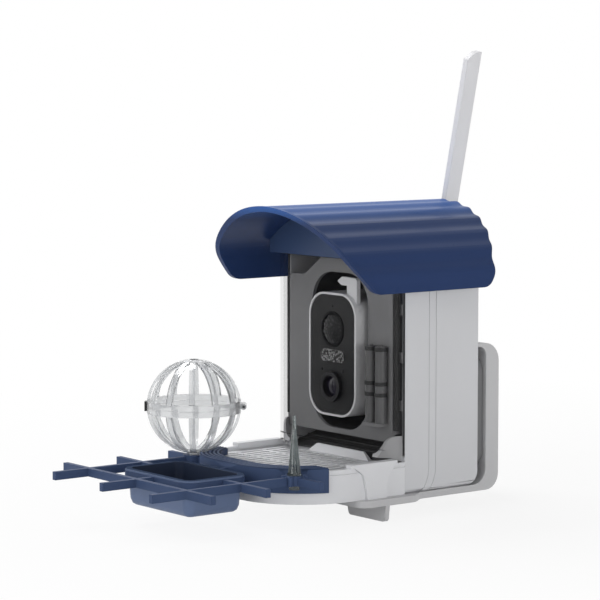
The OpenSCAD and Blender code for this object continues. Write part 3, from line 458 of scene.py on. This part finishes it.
def ring(name, centre, inner, outer, thickness):
    """A flat ring round the Y axis, widened from its inner circle."""
    bpy.ops.object.select_all(action="DESELECT")
    bpy.ops.mesh.primitive_circle_add(vertices=RING_STEPS, radius=inner, location=centre,
                                      rotation=(math.pi / 2, 0, 0))
    piece = bpy.context.object
    piece.name = name
    bpy.ops.object.transform_apply(location=True, rotation=True)
    bpy.ops.object.mode_set(mode="EDIT")
    bpy.ops.mesh.select_all(action="SELECT")
    bpy.ops.mesh.extrude_edges_move()
    wider = outer / inner
    bpy.ops.transform.resize(value=(wider, 1, wider), center_override=centre)
    bpy.ops.mesh.select_all(action="SELECT")
    bpy.ops.mesh.normals_make_consistent(inside=False)
    bpy.ops.object.mode_set(mode="OBJECT")
    bpy.ops.object.modifier_add(type="SOLIDIFY")
    piece.modifiers[-1].thickness = thickness
    piece.modifiers[-1].offset = 0
    bpy.ops.object.modifier_apply(modifier=piece.modifiers[-1].name)
    return piece


RING_EDGE = 0.00015
BEZEL_WIDTH = 0.0022
BEZEL_STAND = 0.0012
BEZEL_GAP = 0.0001
face_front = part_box("camera_face")[0].y
sensor_low, sensor_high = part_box("pir_lens")
sensor_middle = (sensor_low + sensor_high) / 2
sensor_radius = (sensor_high.x - sensor_low.x) / 2
bezel = ring("sensor_bezel", (sensor_middle.x, face_front, sensor_middle.z),
             sensor_radius + BEZEL_GAP, sensor_radius + BEZEL_WIDTH, BEZEL_STAND)
finished(bezel, RING_EDGE, ring_black, "feeder")

# Lens threads. Fine turned steps on the front of the lens ring, which keep stray light
# out of the camera; the glass sits behind them.
STEP_STAND = 0.0004
STEP_WIDTH = 0.0005
STEP_COUNT = 3
step_gray = moulded_plastic("step_gray", (0.05, 0.05, 0.052), 0.25, gloss=0.4, grain=0.01)
glass_low, glass_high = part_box("lens_glass")
barrel_low, barrel_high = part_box("lens_ring")
glass_radius = (glass_high.x - glass_low.x) / 2
barrel_radius = (barrel_high.x - barrel_low.x) / 2
lens_middle = (barrel_low + barrel_high) / 2
step_room = barrel_radius - glass_radius - STEP_WIDTH
for step in range(STEP_COUNT):
    inner = glass_radius + step_room * (step + 0.5) / STEP_COUNT
    thread = ring(f"lens_thread_{step}", (lens_middle.x, barrel_low.y, lens_middle.z),
                  inner, inner + STEP_WIDTH, STEP_STAND)
    finished(thread, RING_EDGE, step_gray, "feeder")

# Sensor lens and light window. Dark and clear plastic, moulded with small lenses and prisms
# on the back and pressed into the camera's front.
HONEYCOMB_SCALE = 330.0
HONEYCOMB_DEPTH = 0.0004
PRISM_SCALE = 620.0
PRISM_DEPTH = 0.0005


def sensor_lens():
    """Dark plastic whose back is moulded into a honeycomb of small lenses."""
    material, shader, start = new_material("sensor_lens")
    cells = start.add("TexVoronoi", {"feature": "DISTANCE_TO_EDGE"},
                      {"Vector": start, "Scale": HONEYCOMB_SCALE})
    join(cells.mix((0.012, 0.012, 0.013, 1), (0.07, 0.07, 0.073, 1)), shader, "Base Color")
    join(0.25 + 0.2 * cells, shader, "Roughness")
    shader.inputs["Specular IOR Level"].default_value = 0.12
    bump = start.add("Bump", {}, {"Strength": 0.3, "Distance": HONEYCOMB_DEPTH, "Height": cells})
    join(bump, shader, "Normal")
    return material


def prismatic_window():
    """Clear plastic with a fine prism pattern and painted glints: pale spots in its colour."""
    material, shader, start = new_material("prismatic_window")
    prisms = start.add("TexVoronoi", {}, {"Vector": start, "Scale": PRISM_SCALE}, out="Distance")
    # Painted glints: pale spots at the prism cells' centres, dark between them.
    bright_to_dark = ((0.2, (0.5, 0.5, 0.5, 1)), (0.6, (0.03, 0.03, 0.03, 1)))
    painted_glints = start.add("ValToRGB", {"stops": bright_to_dark}, {"Fac": prisms})
    join(painted_glints, shader, "Base Color")
    join(0.2 + 0.3 * prisms, shader, "Roughness")
    join(0.85 + 0.1 * prisms, shader, "Alpha")
    shader.inputs["Specular IOR Level"].default_value = 0.15
    bump = start.add("Bump", {}, {"Strength": 0.6, "Distance": PRISM_DEPTH, "Height": prisms})
    join(bump, shader, "Normal")
    return material


smooth_copy("pir_lens", sensor_lens())
smooth_copy("spotlight_window", prismatic_window())

# Lamps in the light window. Two bright metal reflector cups, each with a pale yellow lamp
# chip on its floor, let into the depth of the clear window.
CUP_STEPS = 48
CUP_RADIUS = 0.0036
CUP_DEPTH = 0.0018
CUP_HOLLOW = 0.8 * CUP_DEPTH
CUP_RIM = 0.0003
CUP_FLOOR = 0.0012
CUP_EDGE = 0.0001
CHIP_HALF = 0.0008
CHIP_HEIGHT = 0.0005
CHIP_STEP = CHIP_HALF / 4
CHIP_CAP = CHIP_HEIGHT / 3
light_low, light_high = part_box("spotlight_window")
light_middle = (light_low + light_high) / 2
cup_spacing = (light_high.x - light_low.x) / 4
reflector = brushed_metal("reflector", (0.8, 0.8, 0.8), 0.25)
chip_yellow = moulded_plastic("chip_yellow", (0.7, 0.62, 0.3), 0.4)
cup_x = light_middle.x - cup_spacing
bpy.ops.object.select_all(action="DESELECT")
bpy.ops.mesh.primitive_cylinder_add(vertices=CUP_STEPS, radius=CUP_RADIUS, depth=CUP_DEPTH,
                                    location=(cup_x, light_middle.y, light_middle.z),
                                    rotation=(math.pi / 2, 0, 0))
cup = bpy.context.object
cup.name = "lamp_cup_left"
bpy.ops.object.transform_apply(location=True, rotation=True)
select_faces(cup, faces_front)
bpy.ops.mesh.inset(thickness=CUP_RIM)
bpy.ops.mesh.inset(thickness=CUP_RADIUS - CUP_RIM - CUP_FLOOR, depth=-CUP_HOLLOW)
finished(cup, CUP_EDGE, reflector, "feeder")
twin(cup, "lamp_cup_right", 2 * cup_spacing, "feeder")
chip_rear = light_middle.y - CUP_DEPTH / 2 + CUP_HOLLOW
chip = block("lamp_chip_left",
             (cup_x - CHIP_HALF, chip_rear - CHIP_HEIGHT, light_middle.z - CHIP_HALF),
             (cup_x + CHIP_HALF, chip_rear, light_middle.z + CHIP_HALF))
select_faces(chip, faces_front)
bpy.ops.mesh.inset(thickness=CHIP_STEP)
push(-CHIP_CAP)
finished(chip, CUP_EDGE, chip_yellow, "feeder")
twin(chip, "lamp_chip_right", 2 * cup_spacing, "feeder")

# Camera lens, board and cells. A domed coated glass sits in the lens ring, a green board backs
# the camera's front, and two gray-sleeved cells stand beside the camera in a black plastic clip.
COATING_SCALE = 120.0


def coated_lens():
    """Dark coated glass with a faint, uneven violet sheen painted into its colour, a painted reflection.
    """
    material, shader, start = new_material("coated_lens")
    painted_sheen = start.add("TexNoise", {}, {"Vector": start, "Scale": COATING_SCALE, "Detail": 1.0})
    # Painted reflection: the violet sheen of the coating is painted into the colour.
    join(painted_sheen.mix((0.004, 0.004, 0.008, 1), (0.02, 0.015, 0.035, 1)), shader, "Base Color")
    join(0.03 + 0.03 * painted_sheen, shader, "Roughness")
    shader.inputs["Specular IOR Level"].default_value = 0.2
    shader.inputs["Coat Weight"].default_value = 0.3
    shader.inputs["Coat Roughness"].default_value = 0.02
    return material


smooth_copy("lens_glass", coated_lens())
board_green = moulded_plastic("board_green", (0.02, 0.09, 0.05), 0.35, spread=0.3)
smooth_copy("circuit_board", board_green)
sleeve_gray = moulded_plastic("sleeve_gray", (0.12, 0.12, 0.123), 0.3)
smooth_copy("battery_cells", sleeve_gray)
smooth_copy("battery_clip", catch_black)

# Window. One bent sheet of smoked acrylic that wraps both front corners and stops
# above the tray, where its mouth lets the seed out.
HAZE_SCALE = 14.0
SAW_SCALE = 700.0


def smoked_acrylic():
    """Polished gray-tinted sheet with a slight, uneven haze."""
    material, shader, start = new_material("smoked_acrylic")
    haze = start.add("TexNoise", {}, {"Vector": start, "Scale": HAZE_SCALE, "Detail": 3.0})
    join(haze.mix((0.02, 0.02, 0.021, 1), (0.03, 0.03, 0.031, 1)), shader, "Base Color")
    join(0.04 + 0.05 * haze, shader, "Roughness")
    join(0.08 + 0.05 * haze, shader, "Alpha")
    shader.inputs["Specular IOR Level"].default_value = 0.05
    return material


def cut_edge():
    """The sheet's cut edge, where the tint of its whole width adds up."""
    material, shader, start = new_material("cut_edge")
    saw = start.add("TexNoise", {}, {"Vector": start, "Scale": SAW_SCALE, "Detail": 2.0})
    join(saw.mix((0.008, 0.008, 0.009, 1), (0.016, 0.016, 0.017, 1)), shader, "Base Color")
    join(0.3 + 0.3 * saw, shader, "Roughness")
    join(0.85 + 0.1 * saw, shader, "Alpha")
    shader.inputs["Specular IOR Level"].default_value = 0.1
    return material


def on_a_cut(face):
    """True for the sheet's upper, lower and rear edges."""
    return abs(face.normal.z) > FACING or face.center.y > pane_rear - WELD


pane = smooth_copy("smoked_window", smoked_acrylic())
second_finish(pane, cut_edge(), on_a_cut)

# Tray. A round-cornered dish of light gray moulded plastic, with a slotted floor on a ledge
# and a low lip at the mouth; two clips reach over its rim down to the bracket's base, and
# its pan under the slots is painted darker, as painted shade under the slotted floor.
tray_gray = moulded_plastic("tray_gray", (0.75, 0.755, 0.775), 0.45)
for node in ("seed_deflector", "tray_grid", "tray_clip_left", "tray_clip_right"):
    smooth_copy(node, tray_gray)
tray = smooth_copy("seed_tray", tray_gray)
grid_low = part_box("tray_grid")[0].z
PAN_DROP = 0.005


def in_the_pan(face):
    """True for the pan's floor below the slotted one."""
    return faces_up(face) and face.center.z < grid_low - PAN_DROP


# Painted shade: the pan's floor under the slotted floor gets a darker gray.
pan_shade_gray = moulded_plastic("pan_shade_gray", (0.16, 0.16, 0.155), 0.6, gloss=0.2)
second_finish(tray, pan_shade_gray, in_the_pan)

# Perch frame and basin. Blue moulded plastic: a grid of straight bars on a ridged channel
# that hooks over the tray's rim, and a shallow basin that drops into the grid's collar.
frame_blue = moulded_plastic("frame_blue", (0.05, 0.077, 0.155), 0.5, gloss=0.1, edge=0.0008)
perch = smooth_copy("perch_frame", frame_blue)
ridge_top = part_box("perch_frame")[1].z
RIDGE_HEIGHT = 0.0006


def on_a_ridge(face):
    """True for the tops of the fine ridges along the channel."""
    return faces_up(face) and face.center.z > ridge_top - WELD


def in_a_groove(face):
    """True for the channel's top between its ridges."""
    return faces_up(face) and abs(face.center.z - ridge_top + RIDGE_HEIGHT) < WELD


# Painted light and shade on the channel: the ridge tops get a lighter blue, a painted highlight, and the
# grooves between them a darker blue, painted shade.
ridge_highlight_blue = moulded_plastic("ridge_highlight_blue", (0.075, 0.11, 0.205), 0.5, gloss=0.15)
groove_shade_blue = moulded_plastic("groove_shade_blue", (0.025, 0.038, 0.08), 0.6, gloss=0.05)
second_finish(perch, ridge_highlight_blue, on_a_ridge)
second_finish(perch, groove_shade_blue, in_a_groove)
basin_blue = moulded_plastic("basin_blue", (0.115, 0.16, 0.275), 0.4, gloss=0.25, edge=0.0008)
basin = smooth_copy("water_basin", basin_blue)
basin_low, basin_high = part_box("water_basin")
basin_middle = (basin_low + basin_high) / 2
OVERHANG = 0.1


def in_the_basin(face):
    """True for the basin's floor and the inside of its walls."""
    inward = (basin_middle - face.center).dot(face.normal) > 0
    return inward and face.center.z < basin_high.z - WELD and face.normal.z > -OVERHANG


def on_the_rim(face):
    """True for the flat top of the basin's rim."""
    return face.center.z > basin_high.z - WELD


# Painted shade: the inside of the basin gets a darker blue, and the flat top of its rim a dark, dull
# blue.
well_shade_blue = moulded_plastic("well_shade_blue", (0.026, 0.036, 0.066), 0.35, gloss=0.15)
rim_shade_blue = moulded_plastic("rim_shade_blue", (0.05, 0.07, 0.12), 0.7, gloss=0.0)
second_finish(basin, well_shade_blue, in_the_basin)
second_finish(basin, rim_shade_blue, on_the_rim)

# Spike and feed ball. Clear polished plastic: a finned spike pushed into its socket,
# and a ribbed ball in two halves with a black pin hinge and a black snap latch.
WAVE_SCALE = 90.0
WAVE_DEPTH = 0.0003
CLEAR_IOR = 1.49


def clear_plastic(name, thin, thick):
    """Clear moulded plastic with slight waviness from the mould."""
    material, shader, start = new_material(name)
    wave = start.add("TexNoise", {}, {"Vector": start, "Scale": WAVE_SCALE, "Detail": 1.0})
    join(wave.mix(thick + (1,), thin + (1,)), shader, "Base Color")
    join(0.05 + 0.06 * wave, shader, "Roughness")
    shader.inputs["Transmission Weight"].default_value = 0.8
    shader.inputs["IOR"].default_value = CLEAR_IOR
    bump = start.add("Bump", {}, {"Strength": 0.1, "Distance": WAVE_DEPTH, "Height": wave})
    join(bump, shader, "Normal")
    return material


spike_clear = clear_plastic("spike_clear", (0.31, 0.35, 0.35), (0.16, 0.2, 0.2))
smooth_copy("fruit_spike", spike_clear)
ball_clear = clear_plastic("ball_clear", (0.85, 0.86, 0.87), (0.72, 0.73, 0.74))
for node in ("cage_base", "cage_lid"):
    smooth_copy(node, ball_clear)
for node in ("cage_hinge_pin", "cage_latch"):
    smooth_copy(node, catch_black)

# Roof. A corrugated vault of blue moulded plastic with raked ends, with painted light along its
# crown, where the blue turns brighter; it swings on a steel pin in gray posts at the back, with a
# flat blue panel under it over the hopper.
FADE_DEPTH = 0.012


def painted_light_above(material, low, high, colour):
    """Turns a finish to another colour between two heights: painted light, brighter towards the top."""
    shader = material.node_tree.nodes["Principled BSDF"]
    plain = Shade(material.node_tree, shader.inputs["Base Color"].links[0].from_socket)
    point = plain.add("TexCoord", {}, {}, out="Object")
    height = plain.add("SeparateXYZ", {}, {"Vector": point}, out="Z")
    share = plain.add("MapRange", {}, {"Value": height, "From Min": low, "From Max": high}, out="Result")
    join(share.mix(plain, colour + (1,)), shader, "Base Color")


roof_blue = moulded_plastic("roof_blue", (0.022, 0.046, 0.135), 0.3, gloss=0.1)
roof_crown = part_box("roof_shell")[1].z
# Painted light: the roof's blue turns brighter towards the crown.
painted_light_above(roof_blue, roof_crown - FADE_DEPTH, roof_crown, (0.031, 0.118, 0.4))
smooth_copy("roof_shell", roof_blue)
liner_blue = moulded_plastic("liner_blue", (0.035, 0.06, 0.13), 0.4, gloss=0.2)
smooth_copy("roof_liner", liner_blue)
smooth_copy("roof_hinge_posts", housing_gray)
smooth_copy("roof_hinge_pin", zinc)

# Antenna. Light gray moulded plastic: a fork that turns on a dark socket screwed into the
# housing's back, and a paddle that folds back on the pin through the fork.
smooth_copy("antenna_socket", dark_gray_and_gap_shade)
antenna_gray = moulded_plastic("antenna_gray", (0.8, 0.8, 0.82), 0.5)
for node in ("antenna_base", "antenna_pin", "antenna_blade"):
    smooth_copy(node, antenna_gray)
